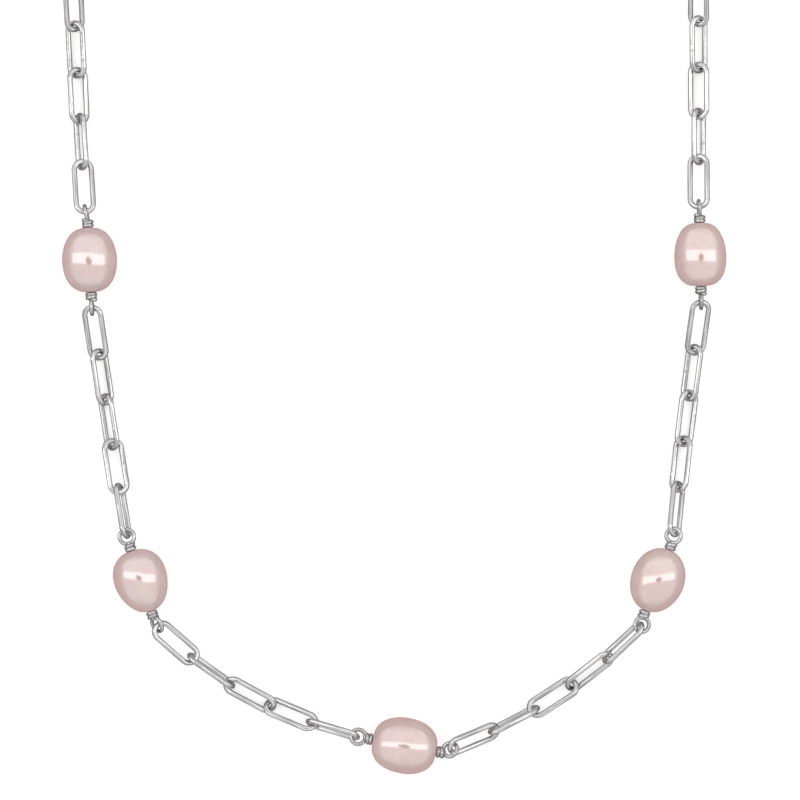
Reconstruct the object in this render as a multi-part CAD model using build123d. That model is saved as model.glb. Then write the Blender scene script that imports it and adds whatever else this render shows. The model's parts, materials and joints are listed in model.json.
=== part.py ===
from build123d import *

import os
from math import atan2, cos, degrees, radians, sin, sqrt

# An 18 inch station necklace: nine freshwater pearls on wire-wrapped pins, joined by
# paperclip chain, with a lobster clasp. It lies flat on a table, unclasped, as an open U.
# X runs to the right, Y from the centre pearl towards the clasp, Z up from the table.
# All lengths are in millimetres and all angles in degrees.

# Paperclip link: an oval of round wire
LINK_LENGTH = 8.60
LINK_WIDTH = 3.30
LINK_WIRE = 0.80

# Wire-wrapped pin through each pearl
PIN_WIRE = 0.60
EYE_WIDTH = 2.75
WRAP_DIAMETER = 1.75
WRAP_TURNS = 2
WRAP_WIRE = 0.60
WRAP_PITCH = 0.52
WRAP_TO_EYE = 2.05
WRAP_GAP = 0.12
EYE_ARM = 1.05
BORE_CLEARANCE = 0.05

# Pearl outline: the angle from each tip at which it ends, at the bore, and its spans
PEARL_END_ANGLE = 8
PEARL_SPANS = 12

# Jump ring and end ring
RING_WIRE = 0.80
END_RING_WIDTH = 5.0
JUMP_RING_WIDTH = 4.2

# Lobster clasp, with X towards its hook, measured from the middle of the hook's hole.
# The claw is a hook on a fork, the lever's gate closes the hook's mouth on the -Y side,
# and the lever's thumb tab stands out on the +Y side.
CLAW_WIDTH = 5.2
CLAW_HOLE = 2.8
CLAW_THICKNESS = 2.0
CLAW_ROUNDING = 0.55
FORK_FRONT = -1.7
FORK_BACK = -6.2
FORK_WIDTH = 3.4
FORK_THICKNESS = 2.6
FORK_ROUNDING = 0.6
SLOT_WIDTH = 1.2
SLOT_FLOOR = -4.9
SLOT_FRONT = -1.3
SLOT_STEP = (-2.7, 0.8)
MOUTH_TOP = 0.15
LEVER_THICKNESS = 0.9
LEVER_HUB = 1.9
LEVER_TAB = [
    (-3.6, 0.3), (-2.8, 0.4), (-2.9, 2.0), (-3.3, 2.9), (-4.1, 3.1), (-4.3, 2.6), (-3.8, 2.0)
]
PIVOT = (-3.1, -0.2)
PIVOT_WIRE = 0.8
PIVOT_CLEARANCE = 0.05
RIVET_FIT = 0.01
RIVET_HEAD = (1.3, 0.15)
GATE_INNER = 1.5
GATE_OUTER = 2.5
GATE_REACH = 4.4
GATE_GAP = 0.08
TAIL_EYE_WIDTH = 3.0
TAIL_EYE_WIRE = 0.75
TAIL_EYE_SINK = 0.2
SPRING_WIRE = 0.3
SPRING_POINTS = [(-4.72, 0.9), (-4.72, -1.2), (-4.32, 0.7)]

# Slack between the crossing wires of neighbours where the chain isn't pulled straight
JUNCTION_SLACK = 0.12

# How much of a pearl's height over the table the first junction beside it keeps, and how
# far the junctions after an arm's last pearl are held over their resting height
PEARL_LIFT = 0.25
END_LIFT = 0.5

# Rounds in which a stretch settles between its pearls, and halvings that find its pitch
SETTLING_ROUNDS = 12
PITCH_HALVINGS = 60

# How far a cutting solid stands out of the piece that it cuts
CUT_MARGIN = 1

# Pearls from the centre outwards along each arm: where the pearl lies (measured from the
# centre pearl), the heading of its pin along the arm, the pearl's width and length, how
# egg-shaped it is, how oval (1 for an even oval, less for fuller shoulders), how far each
# of its pin's two eyes is turned out of level, and how far each eye is bent aside,
# anticlockwise seen from above
CENTRE_PEARL = dict(
    x=0.0, y=0.0, heading=169.3, width=8.3, length=9.5, egg=0.0, oval=0.7,
    eyes=(28, 0), bends=(42, 0),
)
LEFT_PEARLS = [
    dict(
        x=-38.7, y=24.2, heading=108.2, width=7.9, length=9.3, egg=0.11, oval=0.85,
        eyes=(-52, 0), bends=(10, 0),
    ),
    dict(
        x=-46.3, y=71.4, heading=92.7, width=8.1, length=9.5, egg=-0.02, oval=0.75,
        eyes=(90, 90), bends=(0, 10),
    ),
    dict(
        x=-49.2, y=120.0, heading=93.0, width=8.0, length=9.4, egg=0.03, oval=0.85,
        eyes=(95, 75), bends=(0, 0),
    ),
    dict(
        x=-50.5, y=168.6, heading=91.0, width=8.1, length=9.6, egg=0.0, oval=0.75,
        eyes=(85, 75), bends=(0, 0),
    ),
]
RIGHT_PEARLS = [
    dict(
        x=37.2, y=24.3, heading=68.4, width=7.9, length=9.6, egg=0.03, oval=0.95,
        eyes=(12, -10), bends=(16, 10),
    ),
    dict(
        x=43.5, y=72.2, heading=91.0, width=7.7, length=9.3, egg=-0.06, oval=0.65,
        eyes=(90, 90), bends=(0, 3),
    ),
    dict(
        x=43.2, y=120.8, heading=90.5, width=8.0, length=9.5, egg=0.04, oval=0.8,
        eyes=(90, 75), bends=(0, 0),
    ),
    dict(
        x=43.6, y=169.4, heading=89.0, width=7.9, length=9.4, egg=0.0, oval=0.75,
        eyes=(85, 75), bends=(0, 0),
    ),
]

# Stretches of chain from the centre outwards along each arm: how much the stretch turns,
# and how far each link is turned out of level, positive with its left leg up
LEFT_STRETCHES = [
    dict(name="lower_left", turn=-27, rolls=[-71, 31, -31, 80, 12]),
    dict(name="middle_left", turn=-2.5, rolls=[72, 11, -50, 44, -17]),
    dict(name="upper_left", turn=-3, rolls=[6, -59, 32, -30, 32]),
    dict(name="back_left", turn=0, rolls=[5, -60, 35, -45, 20]),
]
RIGHT_STRETCHES = [
    dict(name="lower_right", turn=23, rolls=[37, -80, -18, 44, -66]),
    dict(name="middle_right", turn=0, rolls=[53, -39, 33, -47, 15]),
    dict(name="upper_right", turn=2, rolls=[-8, 54, -24, 38, -24]),
    dict(name="back_right", turn=0, rolls=[0, 65, -20, 45, -20]),
]
# How many of a back stretch's links belong to its inner node; the others are its outer one
BACK_LINKS_INNER = 3

# The links after each arm's last pearl, and the clasp
END_ROLLS = [10, -55, 30]
CLASP_ROLL = 10

# The ring at the end of each arm: its outer width and its roll
END_RINGS = {"left": (END_RING_WIDTH, -35), "right": (JUMP_RING_WIDTH, -55)}

UP = Vector(0, 0, 1)
LINK_BOW = (LINK_WIDTH - LINK_WIRE) / 2
LINK_LEG = LINK_LENGTH - LINK_WIDTH
EYE_BOW = (EYE_WIDTH - PIN_WIRE) / 2
TAIL_EYE_BOW = (TAIL_EYE_WIDTH - TAIL_EYE_WIRE) / 2
TAIL_EYE_MIDDLE = FORK_BACK - TAIL_EYE_BOW + TAIL_EYE_SINK


def across(along, roll):
    """The direction across a loop that is long in one direction and rolled about it."""
    level = UP.cross(along).normalized()
    raised = along.cross(level)
    return level * cos(radians(roll)) + raised * sin(radians(roll))


def neck_reach(pin):
    """How far from a pearl's middle its pin's wire may be bent aside."""
    return pin.far - EYE_BOW - EYE_ARM


class Piece:
    """A piece of the chain: its middle, its long direction, how far it is rolled, and how
    far from its middle the wire is that the next piece hangs on."""

    def __init__(self, name, kind, middle, along, roll, far, **more):
        self.name = name
        self.kind = kind
        self.middle = middle
        self.along = along.normalized()
        self.roll = roll
        self.far = far
        self.more = more

    def side(self):
        """The direction across the piece, in the plane of its loop."""
        return across(self.along, self.roll)

    def place(self):
        """The location that carries a solid built along X, with its loop in XY, here."""
        normal = self.along.cross(self.side())
        return Plane(self.middle, x_dir=self.along, z_dir=normal).location

    def far_wire(self):
        """The middle of the wire that the next piece hangs on."""
        if self.kind == "pin":
            return self.eye_middle(1) + self.more["pull"] * EYE_BOW
        return self.middle + self.along * self.far

    def hinge_axis(self):
        """The next piece turns about this piece's far wire, which runs across it."""
        if self.kind == "pin":
            return self.eye_normal(1).cross(self.more["pull"])
        return self.side()

    def eye_axis(self, end):
        """The direction of a pin's wire where it reaches the eye at its far end (1) or its
        near end (-1)."""
        return self.along.rotate(Axis.Z, self.more["bends"][end])

    def eye_middle(self, end):
        """The middle of a pin's eye."""
        neck = self.middle + self.along * end * neck_reach(self)
        return neck + self.eye_axis(end) * end * EYE_ARM

    def eye_normal(self, end):
        """The direction that a pin's eye faces."""
        axis = self.eye_axis(end)
        return axis.cross(across(axis, self.more["rolls"][end]))

    def eye_junction(self, end, direction, slack):
        """Where a link crosses a pin's eye: it slides round the eye to the side that it is
        pulled to. Returns the middle of the crossing and the pull in the eye's plane."""
        normal = self.eye_normal(end)
        pull = (direction - normal * direction.dot(normal)).normalized()
        return self.eye_middle(end) + pull * (EYE_BOW - PIN_WIRE / 2 - slack / 2), pull


def heading_vector(heading):
    return Vector(cos(radians(heading)), sin(radians(heading)), 0)


def pearl_pin(name, pearl, flipped=False):
    """The pin through a pearl that lies on the table."""
    along = heading_vector(pearl["heading"])
    middle = Vector(pearl["x"], pearl["y"], pearl["width"] / 2)
    reach = pearl["length"] / 2 + WRAP_GAP + WRAP_TO_EYE + EYE_BOW
    near_roll, far_roll = pearl["eyes"]
    near_bend, far_bend = pearl["bends"]
    if flipped:
        along = along * -1
        near_roll, far_roll = -far_roll, -near_roll
        near_bend, far_bend = far_bend, near_bend
    rolls = {-1: near_roll, 1: far_roll}
    bends = {-1: near_bend, 1: far_bend}
    return Piece(name, "pin", middle, along, 0, reach, rolls=rolls, bends=bends, pearl=pearl)


def resting_height(roll):
    """How high a link's middle is when it lies on the table at this roll."""
    return LINK_WIRE / 2 + LINK_BOW * abs(sin(radians(roll)))


def stretch_heights(rolls, start, end):
    """The height of each junction: down from one pearl to the table and up to the next.
    The links beside a pearl hold up a little of their neighbours."""
    rest = [resting_height(roll) for roll in rolls]
    inner = [max(rest[i], rest[i + 1]) for i in range(len(rolls) - 1)]
    inner[0] += PEARL_LIFT * (start - inner[0])
    inner[-1] += PEARL_LIFT * (end - inner[-1])
    return [start, *inner, end]


def chain_stretch(stretch, start, end):
    """Junctions of a stretch of links whose headings turn evenly from one end to the
    other, and the pitch that lets it span from start to end exactly."""
    rolls = stretch["rolls"]
    count = len(rolls)
    heights = stretch_heights(rolls, start.Z, end.Z)
    span = Vector(end.X - start.X, end.Y - start.Y, 0)
    turns = [stretch["turn"] * (i / (count - 1) - 0.5) for i in range(count)]

    def steps(pitch):
        drops = [heights[i + 1] - heights[i] for i in range(count)]
        return [sqrt(pitch**2 - drop**2) for drop in drops]

    def reach(pitch):
        runs = steps(pitch)
        ahead = sum(run * cos(radians(turn)) for run, turn in zip(runs, turns))
        aside = sum(run * sin(radians(turn)) for run, turn in zip(runs, turns))
        return ahead, aside

    low, high = LINK_LENGTH / 2, LINK_LENGTH
    for _ in range(PITCH_HALVINGS):
        pitch = (low + high) / 2
        ahead, aside = reach(pitch)
        if sqrt(ahead**2 + aside**2) < span.length:
            low = pitch
        else:
            high = pitch
    skew = degrees(atan2(aside, ahead))
    forward = span.normalized()
    points = [start]
    for run, turn, height in zip(steps(pitch), turns, heights[1:]):
        direction = forward.rotate(Axis.Z, turn - skew)
        point = points[-1] + direction * run
        points.append(Vector(point.X, point.Y, height))
    points[-1] = end
    return points, pitch


def junction_slack(pitch):
    """The slack between crossing wires when junctions are this far apart."""
    return LINK_LENGTH - 2 * LINK_WIRE - pitch


def lay_link(name, start, end, roll):
    half = (LINK_LENGTH - LINK_WIRE) / 2
    return Piece(name, "link", (start + end) * 0.5, end - start, roll, half)


def lay_ring(name, start, along, roll, width, slack):
    """A ring that hangs on the wire at a junction."""
    radius = (width - RING_WIRE) / 2
    middle = start + along * (radius - RING_WIRE / 2 - slack / 2)
    return Piece(name, "ring", middle, along, roll, radius, width=width)


def lay_arm(side, pearls, stretches, root):
    """All pieces of one arm, from the centre outwards, without the root pin."""
    pieces = []
    pin = root
    for number, (pearl, stretch) in enumerate(zip(pearls, stretches), start=1):
        following = pearl_pin(f"pearl_pin_{side}_{number}", pearl)
        slack = JUNCTION_SLACK
        first, last = pin.along, following.along
        for _ in range(SETTLING_ROUNDS):
            start, pin.more["pull"] = pin.eye_junction(1, first, slack)
            end, _ = following.eye_junction(-1, last * -1, slack)
            points, pitch = chain_stretch(stretch, start, end)
            slack = junction_slack(pitch)
            first, last = points[1] - points[0], points[-1] - points[-2]
        for i, roll in enumerate(stretch["rolls"]):
            name = f"link_{stretch['name']}_{i + 1}"
            pieces.append(lay_link(name, points[i], points[i + 1], roll))
        pieces.append(following)
        pin = following
    return pieces + lay_end(side, pin)


def lay_end(side, pin):
    """The last links of an arm, and the clasp or the ring that it hooks into."""
    slack = JUNCTION_SLACK
    pieces = []
    pitch = LINK_LENGTH - 2 * LINK_WIRE - slack
    ring_width, ring_roll = END_RINGS[side]
    ring_height = RING_WIRE / 2 + (ring_width - RING_WIRE) / 2 * abs(sin(radians(ring_roll)))
    rest = [resting_height(roll) for roll in END_ROLLS]
    heights = [max(rest[0], rest[1]) + END_LIFT, max(rest[1], rest[2]), ring_height]
    first = pin.along
    for _ in range(SETTLING_ROUNDS):
        point, pin.more["pull"] = pin.eye_junction(1, first, slack)
        run = sqrt(pitch**2 - (heights[0] - point.Z) ** 2)
        first = pin.along * run + UP * (heights[0] - point.Z)
    for i, (roll, height) in enumerate(zip(END_ROLLS, heights)):
        run = sqrt(pitch**2 - (height - point.Z) ** 2)
        following = point + pin.along * run
        following = Vector(following.X, following.Y, height)
        pieces.append(lay_link(f"link_end_{side}_{i + 1}", point, following, roll))
        point = following
    ahead = pin.along
    name = "end_ring" if side == "left" else "jump_ring"
    ring = lay_ring(name, point, ahead, ring_roll, ring_width, slack)
    pieces.append(ring)
    if side == "left":
        return pieces
    tail = TAIL_EYE_MIDDLE - TAIL_EYE_BOW
    crossing = (RING_WIRE + TAIL_EYE_WIRE) / 2 + slack
    middle = ring.far_wire() - ahead * (tail + crossing)
    pieces.append(Piece("clasp", "clasp", middle, ahead, CLASP_ROLL, 0))
    return pieces


def lay_necklace():
    """Both arms, each a list that starts with the pin of the centre pearl, which the right
    arm sees turned round."""
    arms = {}
    for side, pearls, stretches in (
        ("left", LEFT_PEARLS, LEFT_STRETCHES),
        ("right", RIGHT_PEARLS, RIGHT_STRETCHES),
    ):
        pin = pearl_pin("pearl_pin_centre", CENTRE_PEARL, flipped=side == "right")
        arms[side] = [pin, *lay_arm(side, pearls, stretches, pin)]
    return arms


def round_link():
    """An oval link of round wire, long in X."""
    bow = Rot(0, 0, -90) * Torus(LINK_BOW, LINK_WIRE / 2, major_angle=180, align=None)
    leg = Rot(0, 90, 0) * Cylinder(LINK_WIRE / 2, LINK_LEG)
    solid = Pos(LINK_LEG / 2, 0, 0) * bow
    solid += Pos(-LINK_LEG / 2, 0, 0) * Rot(0, 0, 180) * bow
    for side in (1, -1):
        solid += Pos(0, side * LINK_BOW, 0) * leg
    return solid


def round_ring(width, wire):
    return Torus((width - wire) / 2, wire / 2)


def wrapped_pin(pin):
    """A wire through a pearl, with an eye at each end closed by turns of the same wire."""
    half = pin.more["pearl"]["length"] / 2 + WRAP_GAP
    wrapped = half + WRAP_WIRE / 2 + (WRAP_TURNS - 1) * WRAP_PITCH
    solid = Rot(0, 90, 0) * Cylinder(PIN_WIRE / 2, 2 * wrapped)
    turn = Rot(0, 90, 0) * round_ring(WRAP_DIAMETER, WRAP_WIRE)
    eye = round_ring(EYE_WIDTH, PIN_WIRE)
    for end in (1, -1):
        for number in range(WRAP_TURNS):
            along = half + WRAP_WIRE / 2 + number * WRAP_PITCH
            solid += Pos(end * along, 0, 0) * turn
        bend = Pos(end * neck_reach(pin), 0, 0) * Rot(0, 0, pin.more["bends"][end])
        roll = Pos(end * EYE_ARM, 0, 0) * Rot(pin.more["rolls"][end], 0, 0)
        seam_outwards = Rot(0, 0, 90 - 90 * end)
        solid += bend * roll * seam_outwards * eye
    return solid


def pearl_radius(angle, egg, oval):
    """How wide a pearl of this shape is, in proportion, at an angle from its far end."""
    return sin(radians(angle)) ** oval * (1 + egg * cos(radians(angle)))


def drilled_pearl(pearl):
    """An oval pearl, long in X, with a bore from end to end for its pin."""
    bore = PIN_WIRE / 2 + BORE_CLEARANCE
    egg, oval = pearl["egg"], pearl["oval"]
    widest = max(pearl_radius(angle, egg, oval) for angle in range(180))
    scale = pearl["width"] / 2 / widest
    step = (180 - 2 * PEARL_END_ANGLE) / PEARL_SPANS
    angles = [PEARL_END_ANGLE + number * step for number in range(PEARL_SPANS + 1)]
    outline = [
        (pearl["length"] / 2 * cos(radians(angle)), scale * pearl_radius(angle, egg, oval))
        for angle in angles
    ]
    far, near = outline[0][0], outline[-1][0]
    edges = Spline(outline) + Polyline(outline[-1], (near, bore), (far, bore), outline[0])
    return revolve(make_face(edges), Axis.X)


def plate(outline, thickness):
    """A flat plate with a straight-sided outline, on both sides of the XY plane."""
    return extrude(make_face(Polyline(*outline, close=True)), thickness / 2, both=True)


def upright(x, y, diameter, height):
    return Pos(x, y, 0) * Cylinder(diameter / 2, height)


def claw_body():
    """The hook, the fork that holds the lever, and the eye at the tail."""
    hook = upright(0, 0, CLAW_WIDTH, CLAW_THICKNESS) - upright(0, 0, CLAW_HOLE, FORK_THICKNESS)
    hook = chamfer(hook.edges().filter_by(GeomType.CIRCLE), CLAW_ROUNDING / 2)
    mouth = upright(*PIVOT, 2 * (GATE_REACH + GATE_GAP), FORK_THICKNESS)
    below = Box(2 * CLAW_WIDTH, CLAW_WIDTH, FORK_THICKNESS)
    hook -= mouth & Pos(-FORK_FRONT / 2, MOUTH_TOP - CLAW_WIDTH / 2, 0) * below
    length = FORK_FRONT - FORK_BACK
    fork = Box(length, FORK_WIDTH, FORK_THICKNESS)
    fork = fillet(fork.edges().filter_by(Axis.X), FORK_ROUNDING)
    fork = Pos(FORK_BACK + length / 2, 0, 0) * fork
    fork -= upright(0, 0, CLAW_HOLE, FORK_THICKNESS + CUT_MARGIN)
    body = hook + fork
    step_x, step_y = SLOT_STEP
    slot = plate(
        [
            (SLOT_FLOOR, -FORK_WIDTH),
            (SLOT_FRONT, -FORK_WIDTH),
            (SLOT_FRONT, step_y),
            (step_x, step_y),
            (step_x, FORK_WIDTH),
            (SLOT_FLOOR, FORK_WIDTH),
        ],
        SLOT_WIDTH,
    )
    body -= slot
    body -= upright(*PIVOT, PIVOT_WIRE + 2 * RIVET_FIT, FORK_THICKNESS + CUT_MARGIN)
    return body + Pos(TAIL_EYE_MIDDLE, 0, 0) * round_ring(TAIL_EYE_WIDTH, TAIL_EYE_WIRE)


def clasp_lever():
    """The gate that closes the hook's mouth, its hub, and the thumb tab."""
    gate = upright(0, 0, 2 * GATE_OUTER, LEVER_THICKNESS)
    gate -= upright(0, 0, 2 * GATE_INNER, LEVER_THICKNESS)
    gate &= upright(*PIVOT, 2 * GATE_REACH, LEVER_THICKNESS)
    below = Box(3 * CLAW_WIDTH, 2 * GATE_OUTER, LEVER_THICKNESS)
    gate &= Pos(0, PIVOT[1] - GATE_OUTER, 0) * below
    lever = gate + upright(*PIVOT, LEVER_HUB, LEVER_THICKNESS) + plate(LEVER_TAB, LEVER_THICKNESS)
    return lever - upright(*PIVOT, PIVOT_WIRE + 2 * PIVOT_CLEARANCE, LEVER_THICKNESS + CUT_MARGIN)


def clasp_rivet():
    head_width, head_height = RIVET_HEAD
    rivet = upright(*PIVOT, PIVOT_WIRE, FORK_THICKNESS)
    for side in (1, -1):
        head = upright(*PIVOT, head_width, head_height)
        rivet += Pos(0, 0, side * (FORK_THICKNESS + head_height) / 2) * head
    return rivet


def rod(start, end, diameter):
    """A straight wire between two points of the XY plane."""
    run = Vector(*end) - Vector(*start)
    middle = (Vector(*end) + Vector(*start)) * 0.5
    return Plane(middle, x_dir=UP, z_dir=run).location * Cylinder(diameter / 2, run.length)


def clasp_spring():
    """A bent leaf of wire between the slot's floor and the lever."""
    top, bend, tip = SPRING_POINTS
    ball = Pos(*bend, 0) * Sphere(SPRING_WIRE / 2)
    return ball + rod(top, bend, SPRING_WIRE) + rod(bend, tip, SPRING_WIRE)


def node_name(piece):
    """The node that a piece belongs to: hidden links share a few nodes."""
    for side in ("left", "right"):
        if piece.name.startswith(f"link_back_{side}"):
            group = "inner" if int(piece.name[-1]) <= BACK_LINKS_INNER else "outer"
            return f"back_links_{side}_{group}"
        if piece.name.startswith(f"link_end_{side}"):
            return f"end_links_{side}"
    return piece.name


def necklace_nodes(arms):
    """Every node's solids, in the layout's frame."""
    link = round_link()
    nodes = {}
    for side, pieces in arms.items():
        for piece in pieces:
            if piece.kind == "link":
                solids = {node_name(piece): link}
            elif piece.kind == "ring":
                solids = {piece.name: round_ring(piece.more["width"], RING_WIRE)}
            elif piece.kind == "clasp":
                solids = {
                    "clasp_claw": claw_body(),
                    "clasp_lever": clasp_lever(),
                    "clasp_rivet": clasp_rivet(),
                    "clasp_spring": clasp_spring(),
                }
            elif piece.name in nodes:
                solids = {}
            else:
                pearl_name = piece.name.replace("pearl_pin", "pearl")
                solids = {
                    piece.name: wrapped_pin(piece),
                    pearl_name: drilled_pearl(piece.more["pearl"]),
                }
            for name, solid in solids.items():
                nodes.setdefault(name, []).append(piece.place() * solid)
    return nodes


def origin_shift(nodes):
    """The move that puts the origin under the middle of the footprint, on the table."""
    boxes = [solid.bounding_box() for solids in nodes.values() for solid in solids]
    low_x, high_x = min(b.min.X for b in boxes), max(b.max.X for b in boxes)
    low_y, high_y = min(b.min.Y for b in boxes), max(b.max.Y for b in boxes)
    low_z = min(b.min.Z for b in boxes)
    return Vector(-(low_x + high_x) / 2, -(low_y + high_y) / 2, -low_z)


def main():
    os.makedirs("parts", exist_ok=True)
    nodes = necklace_nodes(lay_necklace())
    shift = Location(origin_shift(nodes))
    for name, solids in nodes.items():
        placed = [shift * solid for solid in solids]
        node = placed[0] if len(placed) == 1 else Compound(children=placed)
        export_step(node, f"parts/{name}.step")


if __name__ == "__main__":
    main()
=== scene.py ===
import json
import math

import bpy
import numpy as np
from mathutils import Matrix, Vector, noise


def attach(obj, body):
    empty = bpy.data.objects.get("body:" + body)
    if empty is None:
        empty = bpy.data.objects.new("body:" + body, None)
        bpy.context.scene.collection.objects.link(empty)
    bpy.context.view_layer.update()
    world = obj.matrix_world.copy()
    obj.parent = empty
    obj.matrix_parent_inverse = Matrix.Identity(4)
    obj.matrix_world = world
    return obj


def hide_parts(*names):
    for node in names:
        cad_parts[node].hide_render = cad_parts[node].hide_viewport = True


# A pearl station necklace that lies on a white table, seen from straight above.
# Lengths named in millimetres are multiplied by MM; everything in Blender is in metres.

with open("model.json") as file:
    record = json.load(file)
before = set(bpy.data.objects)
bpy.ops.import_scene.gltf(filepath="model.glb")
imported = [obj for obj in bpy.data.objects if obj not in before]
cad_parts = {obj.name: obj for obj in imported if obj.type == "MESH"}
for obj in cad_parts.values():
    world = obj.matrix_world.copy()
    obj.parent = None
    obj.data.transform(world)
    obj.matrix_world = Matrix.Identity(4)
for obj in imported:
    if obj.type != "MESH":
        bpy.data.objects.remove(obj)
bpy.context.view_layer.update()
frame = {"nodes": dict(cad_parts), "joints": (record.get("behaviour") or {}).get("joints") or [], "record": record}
MM = 0.001
NODES = frame["nodes"]
JOINTS = {joint["name"]: joint for joint in frame["joints"]}
BODIES = frame["record"]["behaviour"]["bodies"]
BODY_OF = {node: body for body, nodes in BODIES.items() for node in nodes}

# Points of a CAD mesh closer than this are one point, and places along a pearl that are
# closer than the station are one place
SAME_POINT = 0.0001 * MM
STATION = 0.001 * MM

# Chain link
LINK_LENGTH = 8.60 * MM
LINK_WIDTH = 3.30 * MM
LINK_WIRE = 0.80 * MM
LINK_SIDES = 28
BOW_STEPS = 26
LEG_STEPS = 34
LEG_WAVE = 0.018 * MM

# The soldered seam: its width, its rise as a share of the wire's radius, and how far from
# a leg's middle it may lie, as a share of the leg's length
SOLDER_LENGTH = 0.22 * MM
SOLDER_RISE = 0.05
SOLDER_SPREAD = 0.3

# How unevenly the wire is drawn, as a share of its radius, how far along the noise each
# point of the outline is from the one before, and the width of the noise's waves
WIRE_UNEVEN = 0.010
UNEVEN_STEP = 0.25
UNEVEN_WAVE = 2.2

# Wire-wrapped pin, with its angles in degrees. The opening is half the gap in the eye's
# loop, at its neck, and the arm is the distance from the neck to the eye's middle. The
# wraps don't advance over their last FLAT_TURNS turns.
PIN_WIRE = 0.60 * MM
PIN_SIDES = 24
EYE_WIDTH = 2.75 * MM
EYE_OPENING = 34
EYE_ARM = 1.05 * MM
EYE_STEPS = 60
TIP_TO_NECK = 1.12 * MM
TIP_TO_WRAPS = 0.27 * MM
WRAP_RADIUS = 0.575 * MM
WRAP_START = 70
WRAP_TURNS = 1.95
WRAP_PAST_TOP = 130
WRAP_STEPS_PER_TURN = 36
FLAT_TURNS = 0.5

# The wire inside the pearl: how deep it starts, and its steps. The two bends of the wire
# beside an eye: the reach of their handles, at both ends, and their steps.
INSIDE_DEPTH = 2 * MM
INSIDE_STEPS = 16
BEND_REACH = (0.12 * MM, 0.28 * MM)
BEND_STEPS = 12
CROSSING_REACH = (0.26 * MM, 0.30 * MM)
CROSSING_STEPS = 14

# The rounding of a pin's cut end: the wire's size at its last point and at the one before
CUT_END = (0.72, 0.93)

# Pearl; the end angle, in degrees from the tip, is where its outline meets the bore
PEARL_END_ANGLE = 8
PEARL_RINGS = 150
PEARL_SIDES = 160
BORE_RADIUS = 0.35 * MM
OUTSIDE_BORE = 1.2

# The pearl's skin: the depth of its dents and ripples, the length near each tip over
# which they fade out, and how fast each kind of noise changes, per mm. A higher
# DENT_SHARE dents more of the skin, and GROWTH_SHARE is how far growth rings change that.
DENT_DEPTH = 0.045 * MM
RIPPLE_DEPTH = 0.0022 * MM
SKIN_FADE = 1.2 * MM
DENT_SCALE = 0.30
DENT_SHARE = 0.35
GROWTH_SCALE = (0.9, 0.12)
GROWTH_SHARE = 0.25
GROWTH_OFFSET = 9
RIPPLE_SCALE = 1.6

# Rings; the jump ring's cut is in degrees, and its ends are a little thinner
RING_WIRE = 0.80 * MM
RING_STEPS = 96
RING_GAP = 1.2
RING_CUT_END = 0.9

# Clasp
CAST_VOXEL = 0.055 * MM
CAST_SMOOTHING = 6

# The silver's surface: the noise scale of its streaks in x, y and z (x runs along a wire),
# and the strength of the bumps that its streaks and its dents make. Then the heights of
# these bumps, and of the pearl's grain.
DRAWN = ((0.22, 5.0, 5.0), 0.30, 0.22)
CAST = ((1.3, 1.3, 1.3), 0.08, 0.10)
STREAK_HEIGHT = 0.04 * MM
DENT_HEIGHT = 0.06 * MM
GRAIN_HEIGHT = 0.01 * MM

# The seed of all chance differences, and how far apart, in mm, the pieces' places in a
# texture may lie: for a wire at most, and for a pearl per unit of its own seed
SEED = 18
PLACE_SPREAD = 500
PEARL_PLACE_STEP = 11

# Camera and floor
SENSOR_WIDTH = 36
CAMERA_HEIGHT = 0.62
VIEW_WIDTH = 117.6 * MM
VIEW_FROM_CENTRE_PEARL = (-0.66 * MM, 50.8 * MM)
FLOOR_SIZE = 6.0

# The studio. A direction is given by the slope of a surface that mirrors it straight up.
# Each light has its level, and then its half width, its bottom and its top, each followed
# by the width of that soft edge. The lens spot is darkest up to the first distance, and
# has faded out at the second. It is LENS_STRETCH times as wide as it is high.
ROOM_LEVEL = 0.54
SOFT_BOX = (0.46, 0.48, 0.26, -0.05, 0.02, 0.48, 0.26)
DIM_CARD = (0.29, 0.48, 0.26, -0.48, 0.26, -0.07, 0.02)
BRIGHT_STRIP = (0.90, 0.56, 0.04, -0.05, 0.015, 0.105, 0.045)
LENS_STRETCH = 1.6
LENS_SPOT = (0.065, 0.145)
LENS_LEVEL = 0.03


# ---------------------------------------------------------------- nodes and materials


def node_tree(owner):
    owner.use_nodes = True
    tree = owner.node_tree
    tree.nodes.clear()
    return tree


def add(tree, kind, **settings):
    """Adds a node; a setting is a property of the node, or the value of an input."""
    node = tree.nodes.new(kind)
    for name, value in settings.items():
        if hasattr(node, name):
            setattr(node, name, value)
        else:
            node.inputs[name.replace("_", " ")].default_value = value
    return node


def link(tree, source, target):
    tree.links.new(source, target)


def math_node(tree, operation, first, second=None):
    """A Math node's output; each operand is a socket or a number."""
    node = tree.nodes.new("ShaderNodeMath")
    node.operation = operation
    for socket, value in zip(node.inputs, (first, second)):
        if value is None:
            continue
        if isinstance(value, (int, float)):
            socket.default_value = value
        else:
            link(tree, value, socket)
    return node.outputs[0]


def fade(tree, value, low, high, bottom=0.0, top=1.0):
    """A smooth step of a value, from bottom at low to top at high."""
    node = tree.nodes.new("ShaderNodeMapRange")
    node.interpolation_type = "SMOOTHSTEP"
    link(tree, value, node.inputs["Value"])
    node.inputs["From Min"].default_value = low
    node.inputs["From Max"].default_value = high
    node.inputs["To Min"].default_value = bottom
    node.inputs["To Max"].default_value = top
    return node.outputs["Result"]


def mixed_colour(tree, share, first, second):
    node = tree.nodes.new("ShaderNodeMix")
    node.data_type = "RGBA"
    link(tree, share, node.inputs["Factor"])
    for socket, value in ((node.inputs[6], first), (node.inputs[7], second)):
        if isinstance(value, tuple):
            socket.default_value = (*value, 1)
        else:
            link(tree, value, socket)
    return node.outputs[2]


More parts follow.
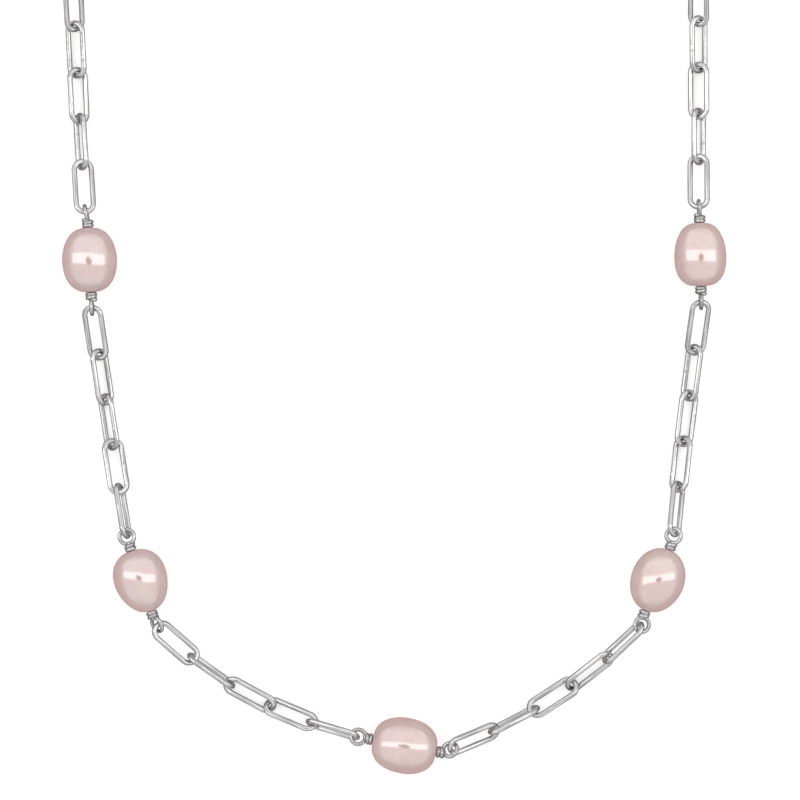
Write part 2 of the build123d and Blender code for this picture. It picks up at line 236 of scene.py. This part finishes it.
def silver_material(name, attribute, bright, dull, streak_scale, streak_bump, dent_bump):
    """Polished silver: faint streaks, small dents and slightly dulled patches. On a wire
    the attribute holds a place along and round it, in mm, and the streaks run along it. A
    cast piece has no such attribute, and uses its own coordinates, in mm."""
    material = bpy.data.materials.new(name)
    tree = node_tree(material)
    output = add(tree, "ShaderNodeOutputMaterial")
    shader = add(tree, "ShaderNodeBsdfPrincipled")
    shader.inputs["Metallic"].default_value = 1.0
    link(tree, shader.outputs["BSDF"], output.inputs["Surface"])
    if attribute:
        place = add(tree, "ShaderNodeAttribute", attribute_name=attribute).outputs["Vector"]
    else:
        coordinates = add(tree, "ShaderNodeTexCoord").outputs["Object"]
        scaled = add(tree, "ShaderNodeVectorMath", operation="SCALE")
        scaled.inputs["Scale"].default_value = 1 / MM
        link(tree, coordinates, scaled.inputs[0])
        place = scaled.outputs["Vector"]

    patches = add(tree, "ShaderNodeTexNoise", Scale=0.9, Detail=4.0, Roughness=0.6)
    link(tree, place, patches.inputs["Vector"])
    streaked = add(tree, "ShaderNodeMapping")
    streaked.inputs["Scale"].default_value = streak_scale
    link(tree, place, streaked.inputs["Vector"])
    streaks = add(tree, "ShaderNodeTexNoise", Scale=1.0, Detail=3.0, Roughness=0.5)
    link(tree, streaked.outputs["Vector"], streaks.inputs["Vector"])
    dents = add(tree, "ShaderNodeTexNoise", Scale=1.5, Detail=1.5, Roughness=0.4)
    link(tree, place, dents.inputs["Vector"])

    colour = mixed_colour(tree, fade(tree, streaks.outputs["Fac"], 0.40, 0.60), bright, dull)
    link(tree, colour, shader.inputs["Base Color"])
    roughness = fade(tree, patches.outputs["Fac"], 0.3, 0.75, 0.10, 0.22)
    link(tree, roughness, shader.inputs["Roughness"])
    fine = add(tree, "ShaderNodeBump", Strength=streak_bump, Distance=STREAK_HEIGHT)
    link(tree, streaks.outputs["Fac"], fine.inputs["Height"])
    coarse = add(tree, "ShaderNodeBump", Strength=dent_bump, Distance=DENT_HEIGHT)
    link(tree, dents.outputs["Fac"], coarse.inputs["Height"])
    link(tree, fine.outputs["Normal"], coarse.inputs["Normal"])
    link(tree, coarse.outputs["Normal"], shader.inputs["Normal"])
    return material


def pearl_material():
    """Pale pink nacre with drifts of rose, cream and lilac, under a clear lustre."""
    material = bpy.data.materials.new("pink_nacre")
    tree = node_tree(material)
    output = add(tree, "ShaderNodeOutputMaterial")
    shader = add(tree, "ShaderNodeBsdfPrincipled")
    link(tree, shader.outputs["BSDF"], output.inputs["Surface"])
    place = add(tree, "ShaderNodeAttribute", attribute_name="pearl_place").outputs["Vector"]

    drift = add(tree, "ShaderNodeTexNoise", Scale=0.22, Detail=3.0, Roughness=0.55, Distortion=0.4)
    link(tree, place, drift.inputs["Vector"])
    lilac = add(tree, "ShaderNodeTexNoise", Scale=0.17, Detail=2.0, Roughness=0.5)
    shifted = add(tree, "ShaderNodeVectorMath", operation="ADD")
    shifted.inputs[1].default_value = (31.0, 17.0, 5.0)
    link(tree, place, shifted.inputs[0])
    link(tree, shifted.outputs["Vector"], lilac.inputs["Vector"])
    rings = add(tree, "ShaderNodeMapping")
    rings.inputs["Scale"].default_value = (2.4, 0.25, 0.25)
    link(tree, place, rings.inputs["Vector"])
    growth = add(tree, "ShaderNodeTexNoise", Scale=1.0, Detail=4.0, Roughness=0.6)
    link(tree, rings.outputs["Vector"], growth.inputs["Vector"])
    grain = add(tree, "ShaderNodeTexNoise", Scale=7.0, Detail=3.0, Roughness=0.6)
    link(tree, place, grain.inputs["Vector"])

    rose, cream = (0.68, 0.44, 0.42), (0.72, 0.53, 0.50)
    violet, pale = (0.635, 0.465, 0.47), (0.75, 0.56, 0.53)
    colour = mixed_colour(tree, fade(tree, drift.outputs["Fac"], 0.38, 0.66), rose, cream)
    lilac_share = fade(tree, lilac.outputs["Fac"], 0.45, 0.75, 0.0, 0.8)
    colour = mixed_colour(tree, lilac_share, colour, violet)
    pale_share = fade(tree, growth.outputs["Fac"], 0.40, 0.75, 0.0, 0.28)
    colour = mixed_colour(tree, pale_share, colour, pale)
    link(tree, colour, shader.inputs["Base Color"])
    roughness = fade(tree, grain.outputs["Fac"], 0.3, 0.7, 0.20, 0.28)
    link(tree, roughness, shader.inputs["Roughness"])
    shader.inputs["Subsurface Weight"].default_value = 0.25
    shader.inputs["Subsurface Radius"].default_value = (1.0, 0.40, 0.34)
    shader.inputs["Subsurface Scale"].default_value = 1.3 * MM
    shader.inputs["Sheen Weight"].default_value = 0.9
    shader.inputs["Sheen Roughness"].default_value = 0.30
    shader.inputs["Sheen Tint"].default_value = (1.0, 0.42, 0.39, 1)
    shader.inputs["IOR"].default_value = 2.4
    shader.inputs["Coat Weight"].default_value = 1.0
    shader.inputs["Coat Roughness"].default_value = 0.045
    shader.inputs["Coat IOR"].default_value = 2.6
    bump = add(tree, "ShaderNodeBump", Strength=0.02, Distance=GRAIN_HEIGHT)
    link(tree, grain.outputs["Fac"], bump.inputs["Height"])
    link(tree, bump.outputs["Normal"], shader.inputs["Normal"])
    return material


# ---------------------------------------------------------------- geometry helpers


def unit(vector):
    return vector / np.linalg.norm(vector)


def node_points(node):
    mesh = NODES[node].data
    points = np.empty(len(mesh.vertices) * 3)
    mesh.vertices.foreach_get("co", points)
    return points.reshape(-1, 3)


def solids_of(node):
    """The points of each separate solid of a CAD node."""
    mesh = NODES[node].data
    points = node_points(node)
    _, same = np.unique(np.round(points / SAME_POINT), axis=0, return_inverse=True)
    same = same.ravel()
    ends = np.empty(len(mesh.edges) * 2, dtype=np.int64)
    mesh.edges.foreach_get("vertices", ends)
    ends = same[ends.reshape(-1, 2)]
    label = np.arange(same.max() + 1)
    settled = False
    while not settled:
        lowest = label[ends].min(axis=1)
        following = label.copy()
        for column in (0, 1):
            np.minimum.at(following, ends[:, column], lowest)
        following = following[following]
        settled = (following == label).all()
        label = following
    return [points[label[same] == one] for one in np.unique(label)]


def principal_frame(points):
    """The middle of a solid, and its long, side and thin directions as rows."""
    centred = points - points.mean(axis=0)
    _, directions = np.linalg.eigh(centred.T @ centred)
    axes = directions.T[::-1].copy()
    axes[2] = np.cross(axes[0], axes[1])
    if axes[2][2] < 0:
        axes[1:] *= -1
    along = points @ axes.T
    middle = (along.min(axis=0) + along.max(axis=0)) / 2 @ axes
    return middle, axes


def swept_wire(path, radii, closed, sides):
    """A round wire along a path: its points, its faces, and a place along and round it, in
    mm. The cross-section doesn't twist along the way."""
    ahead = np.roll(path, -1, axis=0) - np.roll(path, 1, axis=0)
    if not closed:
        ahead[0] = path[1] - path[0]
        ahead[-1] = path[-1] - path[-2]
    ahead /= np.linalg.norm(ahead, axis=1)[:, None]
    first = np.cross(ahead[0], (0.0, 0.0, 1.0))
    if np.linalg.norm(first) < 0.1:
        first = np.cross(ahead[0], (0.0, 1.0, 0.0))
    across = [unit(first)]
    for direction in ahead[1:]:
        across.append(unit(across[-1] - direction * across[-1].dot(direction)))
    across = np.array(across)
    upward = np.cross(ahead, across)
    turn = 2 * np.pi * np.arange(sides) / sides
    ring = np.cos(turn)[None, :, None] * across[:, None]
    ring = ring + np.sin(turn)[None, :, None] * upward[:, None]
    points = path[:, None] + ring * radii[:, None, None]
    steps = np.linalg.norm(np.diff(path, axis=0), axis=1)
    length = np.concatenate([[0], np.cumsum(steps)]) / MM
    place = np.zeros_like(points)
    place[..., 0] = length[:, None]
    place[..., 1] = np.cos(turn)[None] * radii[:, None] / MM
    place[..., 2] = np.sin(turn)[None] * radii[:, None] / MM
    count = len(path)
    faces = []
    for i in range(count if closed else count - 1):
        j = (i + 1) % count
        for k in range(sides):
            m = (k + 1) % sides
            faces.append((i * sides + k, i * sides + m, j * sides + m, j * sides + k))
    if not closed:
        faces.append(tuple(reversed(range(sides))))
        faces.append(tuple((count - 1) * sides + k for k in range(sides)))
    return points.reshape(-1, 3), faces, place.reshape(-1, 3)


def mesh_piece(name, points, faces, material, attribute, place):
    """A smooth mesh object, with the place of each point on it as an attribute."""
    mesh = bpy.data.meshes.new(name)
    mesh.from_pydata([tuple(p) for p in points], [], faces)
    mesh.polygons.foreach_set("use_smooth", [True] * len(mesh.polygons))
    layer = mesh.attributes.new(attribute, "FLOAT_VECTOR", "POINT")
    layer.data.foreach_set("vector", np.asarray(place, dtype=np.float32).ravel())
    mesh.materials.append(material)
    mesh.update()
    piece = bpy.data.objects.new(name, mesh)
    bpy.context.scene.collection.objects.link(piece)
    return piece


def stand_for(piece, node):
    """The piece is shown in place of a CAD node, and moves with that node's body."""
    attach(piece, BODY_OF[node])
    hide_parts(node)


def bezier(start, first, second, end, steps):
    t = np.linspace(0, 1, steps)[:, None]
    near = (1 - t) ** 3 * start + 3 * (1 - t) ** 2 * t * first
    return near + 3 * (1 - t) * t**2 * second + t**3 * end


def waver(position, seed, size):
    """Smooth noise from -1 to 1 at a position. The size is the width of its waves, and the
    seed picks the line through the noise that it is read along."""
    return noise.noise(Vector((position / size, seed * 7.31, seed * 1.93)))


# ---------------------------------------------------------------- chain links


def link_outline(rng):
    """The centreline of a link in its own plane, its wire's radius at each point. The legs
    aren't perfectly straight, and one of them has the soldered seam."""
    radius = (LINK_WIDTH - LINK_WIRE) / 2
    leg = LINK_LENGTH - LINK_WIDTH
    seed = rng.uniform(0, 100)
    waves = rng.uniform(-1, 1, 2) * LEG_WAVE
    seam_side = rng.integers(0, 2)
    seam = rng.uniform(-SOLDER_SPREAD, SOLDER_SPREAD) * leg
    points, swell = [], []
    for side in (0, 1):
        sign = 1 - 2 * side
        bow = np.radians(np.linspace(-90, 90, BOW_STEPS, endpoint=False)) + np.pi * side
        for angle in bow:
            points.append((sign * leg / 2 + radius * np.cos(angle), radius * np.sin(angle), 0))
            swell.append(0)
        for share in np.linspace(0, 1, LEG_STEPS, endpoint=False):
            x = sign * leg * (0.5 - share)
            bend = waves[side] * np.sin(np.pi * share) ** 2
            points.append((x, sign * (radius + bend), 0))
            near_seam = np.exp(-(((x - seam) / SOLDER_LENGTH) ** 2)) if side == seam_side else 0
            swell.append(SOLDER_RISE * near_seam)
    points = np.array(points)
    uneven = [waver(i * UNEVEN_STEP, seed, UNEVEN_WAVE) * WIRE_UNEVEN for i in range(len(points))]
    radii = LINK_WIRE / 2 * (1 - WIRE_UNEVEN + np.array(uneven) + np.array(swell))
    return points, radii


def chain_link(solid, rng):
    middle, axes = principal_frame(solid)
    if rng.integers(0, 2):
        axes[:2] *= -1
    outline, radii = link_outline(rng)
    points, faces, place = swept_wire(outline, radii, True, LINK_SIDES)
    place[:, 0] += rng.uniform(0, PLACE_SPREAD)
    return points @ axes + middle, faces, place


def chain_piece(node, material, rng):
    """All links of a node as one piece."""
    points, faces, place = [], [], []
    total = 0
    for solid in solids_of(node):
        link_points, link_faces, link_place = chain_link(solid, rng)
        faces += [tuple(total + i for i in face) for face in link_faces]
        total += len(link_points)
        points.append(link_points)
        place.append(link_place)
    points, place = np.concatenate(points), np.concatenate(place)
    piece = mesh_piece("silver_" + node, points, faces, material, "wire_place", place)
    stand_for(piece, node)


# ---------------------------------------------------------------- pins and pearls


def eye_frame(points, neck):
    """The directions of a pin's eye, from the CAD pin's points beyond its neck: away from
    the neck, across in the eye's plane, and the eye's normal."""
    ring = points[np.linalg.norm(points - neck, axis=1) > EYE_ARM]
    _, axes = principal_frame(ring)
    normal = axes[2]
    out = ring.mean(axis=0) - neck
    out = unit(out - normal * out.dot(normal))
    return np.array([out, np.cross(normal, out), normal])


def wrap_directions(along, eye, hand):
    """The two directions that a pin's wraps turn between, and how many turns they make so
    that the cut end is out of sight, under the neck. The hand is 1 or -1, the side that
    the wire crosses on."""
    normal = unit(eye[2] - along * eye[2].dot(along)) * hand
    across = np.cross(normal, along) * hand
    top = math.degrees(math.atan2(normal[2], across[2]))
    spare = (top + WRAP_PAST_TOP - WRAP_START) / 360
    return across, normal, spare + round(WRAP_TURNS - spare)


def wrapped_end(tip, neck, along, eye):
    """The wire from inside the pearl's tip out to the neck, round the eye, and back in
    turns about its own neck, towards the pearl, with the last part of a turn flat against
    it. The eye's directions are out, across and normal."""
    radius = (EYE_WIDTH - PIN_WIRE) / 2
    opening = math.radians(180 - EYE_OPENING)
    choices = [wrap_directions(along, eye, hand) for hand in (1, -1)]
    across, normal, turns = min(choices, key=lambda choice: abs(choice[2] - WRAP_TURNS))
    middle = neck + eye[0] * EYE_ARM
    angles = np.linspace(-opening, opening, EYE_STEPS)
    loop = middle + radius * (np.outer(np.cos(angles), eye[0]) + np.outer(np.sin(angles), eye[1]))
    enter_way = math.sin(opening) * eye[0] + math.cos(opening) * eye[1]
    leave_way = -math.sin(opening) * eye[0] + math.cos(opening) * eye[1]
    straight = np.linspace(tip - along * INSIDE_DEPTH, neck, INSIDE_STEPS, endpoint=False)
    handles = neck + along * BEND_REACH[0], loop[0] - enter_way * BEND_REACH[1]
    bend = bezier(neck, *handles, loop[0], BEND_STEPS)[:-1]
    start = math.radians(WRAP_START)
    length = np.linalg.norm(neck - tip) - TIP_TO_WRAPS
    steps = int(turns * WRAP_STEPS_PER_TURN)
    share = np.linspace(0, 1, steps + 1)
    turning = start + share * turns * 2 * math.pi
    advance = np.minimum(share * turns / (turns - FLAT_TURNS), 1) * length
    wraps = (
        neck
        - np.outer(advance, along)
        + WRAP_RADIUS * (np.outer(np.cos(turning), across) + np.outer(np.sin(turning), normal))
    )
    wrap_way = unit(wraps[1] - wraps[0])
    handles = loop[-1] + leave_way * CROSSING_REACH[0], wraps[0] - wrap_way * CROSSING_REACH[1]
    crossing = bezier(loop[-1], *handles, wraps[0], CROSSING_STEPS)[1:-1]
    return np.concatenate([straight, bend, loop, crossing, wraps])


def pin_piece(number_name, material, rng):
    """The wire through a pearl, as one bent wire from cut end to cut end."""
    node = "pearl_pin_" + number_name
    joint = JOINTS[f"pearl_{number_name}_spin"]
    centre = np.array(joint["pos_m"])
    axis = unit(np.array(joint["axis"]))
    points = node_points(node)
    pearl_reach = ((node_points("pearl_" + number_name) - centre) @ axis).max()
    tip_reach = pearl_reach / math.cos(math.radians(PEARL_END_ANGLE))
    halves = []
    for sign in (-1, 1):
        along = axis * sign
        tip = centre + along * tip_reach
        neck = tip + along * TIP_TO_NECK
        beyond = points[(points - neck) @ along > 0]
        halves.append(wrapped_end(tip, neck, along, eye_frame(beyond, neck)))
    path = np.concatenate([halves[0][::-1], halves[1]])
    radii = np.full(len(path), PIN_WIRE / 2)
    radii[[0, -1]] *= CUT_END[0]
    radii[[1, -2]] *= CUT_END[1]
    points, faces, place = swept_wire(path, radii, False, PIN_SIDES)
    place[:, 0] += rng.uniform(0, PLACE_SPREAD)
    piece = mesh_piece("silver_" + node, points, faces, material, "wire_place", place)
    stand_for(piece, node)


def pearl_profile(points, centre, axis):
    """How wide a pearl is along its axis, from the outside of the CAD pearl."""
    along = (points - centre) @ axis
    radius = np.linalg.norm(points - centre - along[:, None] * axis, axis=1)
    order = np.argsort(along)
    along, radius = along[order], radius[order]
    low, high = along[0], along[-1]
    outer = radius > BORE_RADIUS * OUTSIDE_BORE
    stations, places = np.unique(np.round(along[outer] / STATION), return_inverse=True)
    widest = np.zeros(len(stations))
    np.maximum.at(widest, places.ravel(), radius[outer])
    return low, high, stations * STATION, widest


def pearl_piece(number_name, material, rng):
    """A drilled pearl, whose skin has shallow dents, faint growth rings and ripples."""
    node = "pearl_" + number_name
    joint = JOINTS[node + "_spin"]
    centre = np.array(joint["pos_m"])
    axis = unit(np.array(joint["axis"]))
    low, high, stations, widest = pearl_profile(node_points(node), centre, axis)
    side = unit(np.cross(axis, (0.0, 0.0, 1.0)))
    third = np.cross(axis, side)
    seed = rng.uniform(0, 50)
    start = seed * PEARL_PLACE_STEP
    turn = 2 * np.pi * np.arange(PEARL_SIDES) / PEARL_SIDES
    ring = np.outer(np.cos(turn), side) + np.outer(np.sin(turn), third)
    slide = -np.cos(np.linspace(0, np.pi, PEARL_RINGS))
    across = (low + high) / 2 + slide * (high - low) / 2
    radius = np.interp(across, stations, widest)
    points, place = [], []
    for x, wide in zip(across, radius):
        skin = min(1, max(0, min(x - low, high - x) / SKIN_FADE))
        for direction in ring:
            local = np.array((x, *(wide * np.array((direction @ side, direction @ third))))) / MM
            dent = noise.noise(Vector(local * DENT_SCALE) + Vector((seed, 0, 0))) + DENT_SHARE
            growth = local[:2] * GROWTH_SCALE
            rings = noise.noise(Vector((*growth, seed + GROWTH_OFFSET)))
            ripple = noise.noise(Vector(local * RIPPLE_SCALE) + Vector((0, seed, 0)))
            inward = DENT_DEPTH * max(0, dent + GROWTH_SHARE * rings) + RIPPLE_DEPTH * (1 + ripple)
            points.append(centre + axis * x + direction * (wide - inward * skin))
            place.append(local + np.array((start, 0, 0)))
    for x in (high, low):
        for direction in ring:
            points.append(centre + axis * x + direction * BORE_RADIUS)
            place.append((x / MM + start, 0, 0))
    count = PEARL_RINGS + 2
    faces = []
    for i in range(count):
        here, ahead = i * PEARL_SIDES, (i + 1) % count * PEARL_SIDES
        for k in range(PEARL_SIDES):
            m = (k + 1) % PEARL_SIDES
            faces.append((here + k, ahead + k, ahead + m, here + m))
    piece = mesh_piece("nacre_" + node, points, faces, material, "pearl_place", place)
    stand_for(piece, node)


# ---------------------------------------------------------------- rings and clasp


def ring_piece(node, material, gap):
    """A ring of round wire; a jump ring has a cut, where it was opened."""
    middle, axes = principal_frame(node_points(node))
    across = node_points(node) @ axes[0]
    radius = (across.max() - across.min() - RING_WIRE) / 2
    start = math.radians(gap / 2)
    closed = gap == 0
    angles = np.linspace(start, 2 * math.pi - start, RING_STEPS, endpoint=not closed)
    path = np.stack([radius * np.cos(angles), radius * np.sin(angles), 0 * angles], axis=1)
    radii = np.full(len(path), RING_WIRE / 2)
    if not closed:
        radii[[0, -1]] *= RING_CUT_END
    points, faces, place = swept_wire(path, radii, closed, LINK_SIDES)
    points = points @ axes + middle
    piece = mesh_piece("silver_" + node, points, faces, material, "wire_place", place)
    stand_for(piece, node)


def cast_piece(node, material):
    """A cast part with softened edges, from the CAD part's own shape."""
    source = NODES[node]
    mesh = source.data.copy()
    piece = bpy.data.objects.new("silver_" + node, mesh)
    bpy.context.scene.collection.objects.link(piece)
    remesh = piece.modifiers.new("voxels", "REMESH")
    remesh.mode = "VOXEL"
    remesh.voxel_size = CAST_VOXEL
    smooth = piece.modifiers.new("soften", "SMOOTH")
    smooth.factor = 0.5
    smooth.iterations = CAST_SMOOTHING
    depsgraph = bpy.context.evaluated_depsgraph_get()
    shaped = bpy.data.meshes.new_from_object(piece.evaluated_get(depsgraph))
    piece.modifiers.clear()
    piece.data = shaped
    shaped.materials.clear()
    shaped.materials.append(material)
    shaped.polygons.foreach_set("use_smooth", [True] * len(shaped.polygons))
    stand_for(piece, node)


# ---------------------------------------------------------------- studio


def studio_world():
    """A soft studio all round: a bright strip overhead, a large soft box beyond it and a
    dimmer card before it, with darker sides and a small dark spot where a lens would be.
    What the camera sees past the floor is plain white."""
    world = bpy.data.worlds.new("studio")
    bpy.context.scene.world = world
    tree = node_tree(world)
    output = add(tree, "ShaderNodeOutputWorld")
    direction = add(tree, "ShaderNodeTexCoord").outputs["Generated"]
    parts = add(tree, "ShaderNodeSeparateXYZ")
    link(tree, direction, parts.inputs[0])
    # a little over 1, so that the size isn't zero straight down
    raised = math_node(tree, "ADD", parts.outputs[2], 1.0001)
    doubled = math_node(tree, "MULTIPLY", raised, 2.0)
    size = math_node(tree, "SQRT", doubled)
    x = math_node(tree, "DIVIDE", parts.outputs[0], size)
    y = math_node(tree, "DIVIDE", parts.outputs[1], size)
    wide = math_node(tree, "ABSOLUTE", x)

    def region(half_width, edge, bottom, bottom_edge, top, top_edge):
        inside = fade(tree, wide, half_width, half_width + edge, 1.0, 0.0)
        above = fade(tree, y, bottom - bottom_edge, bottom)
        below = fade(tree, y, top, top + top_edge, 1.0, 0.0)
        return math_node(tree, "MULTIPLY", math_node(tree, "MULTIPLY", inside, above), below)

    light = ROOM_LEVEL
    for level, *area in (SOFT_BOX, DIM_CARD, BRIGHT_STRIP):
        share = math_node(tree, "MULTIPLY", region(*area), level)
        light = math_node(tree, "ADD", light, share)
    lens_y = math_node(tree, "MULTIPLY", y, LENS_STRETCH)
    squares = [math_node(tree, "MULTIPLY", side, side) for side in (x, lens_y)]
    away = math_node(tree, "SQRT", math_node(tree, "ADD", *squares))
    lens = fade(tree, away, *LENS_SPOT, LENS_LEVEL, 1.0)
    light = math_node(tree, "MULTIPLY", light, lens)
    studio = add(tree, "ShaderNodeBackground")
    link(tree, light, studio.inputs["Strength"])
    studio.inputs["Color"].default_value = (1.0, 0.995, 0.985, 1)
    backdrop = add(tree, "ShaderNodeBackground")
    backdrop.inputs["Color"].default_value = (1, 1, 1, 1)
    backdrop.inputs["Strength"].default_value = 1.0
    seen = add(tree, "ShaderNodeLightPath").outputs["Is Camera Ray"]
    mix = add(tree, "ShaderNodeMixShader")
    link(tree, seen, mix.inputs["Fac"])
    link(tree, studio.outputs[0], mix.inputs[1])
    link(tree, backdrop.outputs[0], mix.inputs[2])
    link(tree, mix.outputs[0], output.inputs["Surface"])


def floor_material():
    """White paper, lit up to plain white for the camera. To glossy rays it is a mid grey,
    which sets how dark the rims of pearls and wires are, and to other rays it is white
    paper without the glow."""
    material = bpy.data.materials.new("white_floor")
    tree = node_tree(material)
    output = add(tree, "ShaderNodeOutputMaterial")
    white = add(tree, "ShaderNodeBsdfDiffuse")
    white.inputs["Color"].default_value = (0.75, 0.75, 0.75, 1)
    glow = add(tree, "ShaderNodeEmission")
    glow.inputs["Strength"].default_value = 0.45
    lit = add(tree, "ShaderNodeAddShader")
    link(tree, white.outputs[0], lit.inputs[0])
    link(tree, glow.outputs[0], lit.inputs[1])
    dim = add(tree, "ShaderNodeBsdfDiffuse")
    dim.inputs["Color"].default_value = (0.40, 0.385, 0.38, 1)
    rays = add(tree, "ShaderNodeLightPath")
    bounced = add(tree, "ShaderNodeMixShader")
    link(tree, rays.outputs["Is Glossy Ray"], bounced.inputs["Fac"])
    link(tree, white.outputs[0], bounced.inputs[1])
    link(tree, dim.outputs[0], bounced.inputs[2])
    mix = add(tree, "ShaderNodeMixShader")
    link(tree, rays.outputs["Is Camera Ray"], mix.inputs["Fac"])
    link(tree, bounced.outputs[0], mix.inputs[1])
    link(tree, lit.outputs[0], mix.inputs[2])
    link(tree, mix.outputs[0], output.inputs["Surface"])
    return material


def lay_floor():
    half = FLOOR_SIZE / 2
    mesh = bpy.data.meshes.new("floor")
    corners = [(-half, -half, 0), (half, -half, 0), (half, half, 0), (-half, half, 0)]
    mesh.from_pydata(corners, [], [(0, 1, 2, 3)])
    mesh.materials.append(floor_material())
    floor = bpy.data.objects.new("floor", mesh)
    bpy.context.scene.collection.objects.link(floor)


def place_camera():
    """Straight above, over the middle of the part of the necklace that is shown."""
    pearl = JOINTS["pearl_centre_spin"]["pos_m"]
    data = bpy.data.cameras.new("camera")
    data.sensor_width = SENSOR_WIDTH
    data.lens = SENSOR_WIDTH * (CAMERA_HEIGHT - pearl[2]) / VIEW_WIDTH
    data.clip_start = 0.01
    camera = bpy.data.objects.new("camera", data)
    camera.location = (
        pearl[0] + VIEW_FROM_CENTRE_PEARL[0],
        pearl[1] + VIEW_FROM_CENTRE_PEARL[1],
        CAMERA_HEIGHT,
    )
    bpy.context.scene.collection.objects.link(camera)
    bpy.context.scene.camera = camera


# ---------------------------------------------------------------- the scene

bpy.context.scene.view_settings.view_transform = "Standard"
place_camera()
studio_world()
lay_floor()

rng = np.random.default_rng(SEED)
wire_silver = silver_material(
    "polished_silver_wire", "wire_place", (0.80, 0.80, 0.81), (0.47, 0.47, 0.485), *DRAWN
)
pin_silver = silver_material(
    "darker_pin_silver", "wire_place", (0.62, 0.62, 0.63), (0.42, 0.42, 0.43), *DRAWN
)
cast_silver = silver_material(
    "polished_cast_silver", None, (0.74, 0.74, 0.75), (0.60, 0.60, 0.615), *CAST
)
nacre = pearl_material()

for node in NODES:
    if "link" in node:
        chain_piece(node, wire_silver, rng)
pearl_names = [node.removeprefix("pearl_pin_") for node in NODES if node.startswith("pearl_pin_")]
for pearl_name in pearl_names:
    pin_piece(pearl_name, pin_silver, rng)
    pearl_piece(pearl_name, nacre, rng)
ring_piece("end_ring", wire_silver, 0)
ring_piece("jump_ring", wire_silver, RING_GAP)
for node in ("clasp_claw", "clasp_lever"):
    cast_piece(node, cast_silver)
for node in ("clasp_rivet", "clasp_spring"):
    NODES[node].material_slots[0].material = cast_silver
